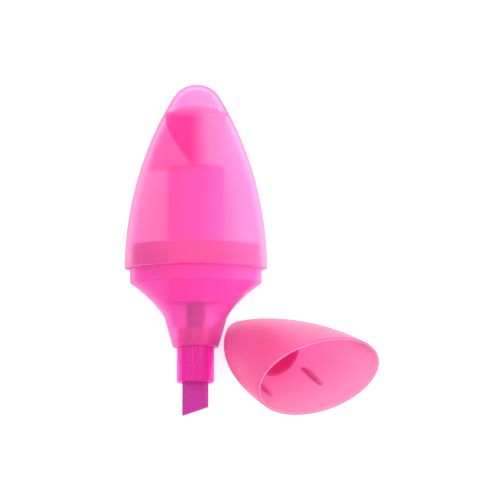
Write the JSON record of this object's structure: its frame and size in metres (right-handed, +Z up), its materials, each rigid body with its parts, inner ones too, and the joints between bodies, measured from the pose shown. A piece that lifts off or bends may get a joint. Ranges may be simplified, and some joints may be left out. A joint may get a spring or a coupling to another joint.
{
  "type": "capped highlighter",
  "caption": "Short bullet-shaped highlighter in translucent frosted plastic with an oval body, thumb facet and chisel nib, and its push-on cap lying open beside it.",
  "frame": {"origin": "on the surface that the pen lies on, at the middle of the whole object's plan: pen and cap together", "axes": "+Z up from the surface; +Y along the pen towards the barrel's closed end, the nib towards -Y; +X to the side where the cap lies"},
  "size_m": [0.05, 0.0674, 0.0321],
  "materials": {
    "frosted_body": "translucent frosted",
    "frosted_front": "translucent frosted",
    "tinted_holder": "translucent gloss",
    "ink_nib": "porous, soaked with ink",
    "ink_fibre": "fibre bundle soaked with ink",
    "film": "clear film",
    "frosted_cap": "translucent frosted",
    "frosted_liner": "translucent frosted"
  },
  "bodies": {
    "pen": {"barrel": "frosted_body", "front_section": "frosted_front", "nib_holder": "tinted_holder", "nib": "ink_nib", "reservoir_core": "ink_fibre", "reservoir_film": "film"},
    "cap": {"cap_shell": "frosted_cap", "cap_seal_liner": "frosted_liner"}
  },
  "joints": [
    {"name": "cap_pull", "type": "slide", "parent": "pen", "child": "cap", "axis": [0, -0.9986, 0.0523], "range_m": [0, 0.032]}
  ]
}
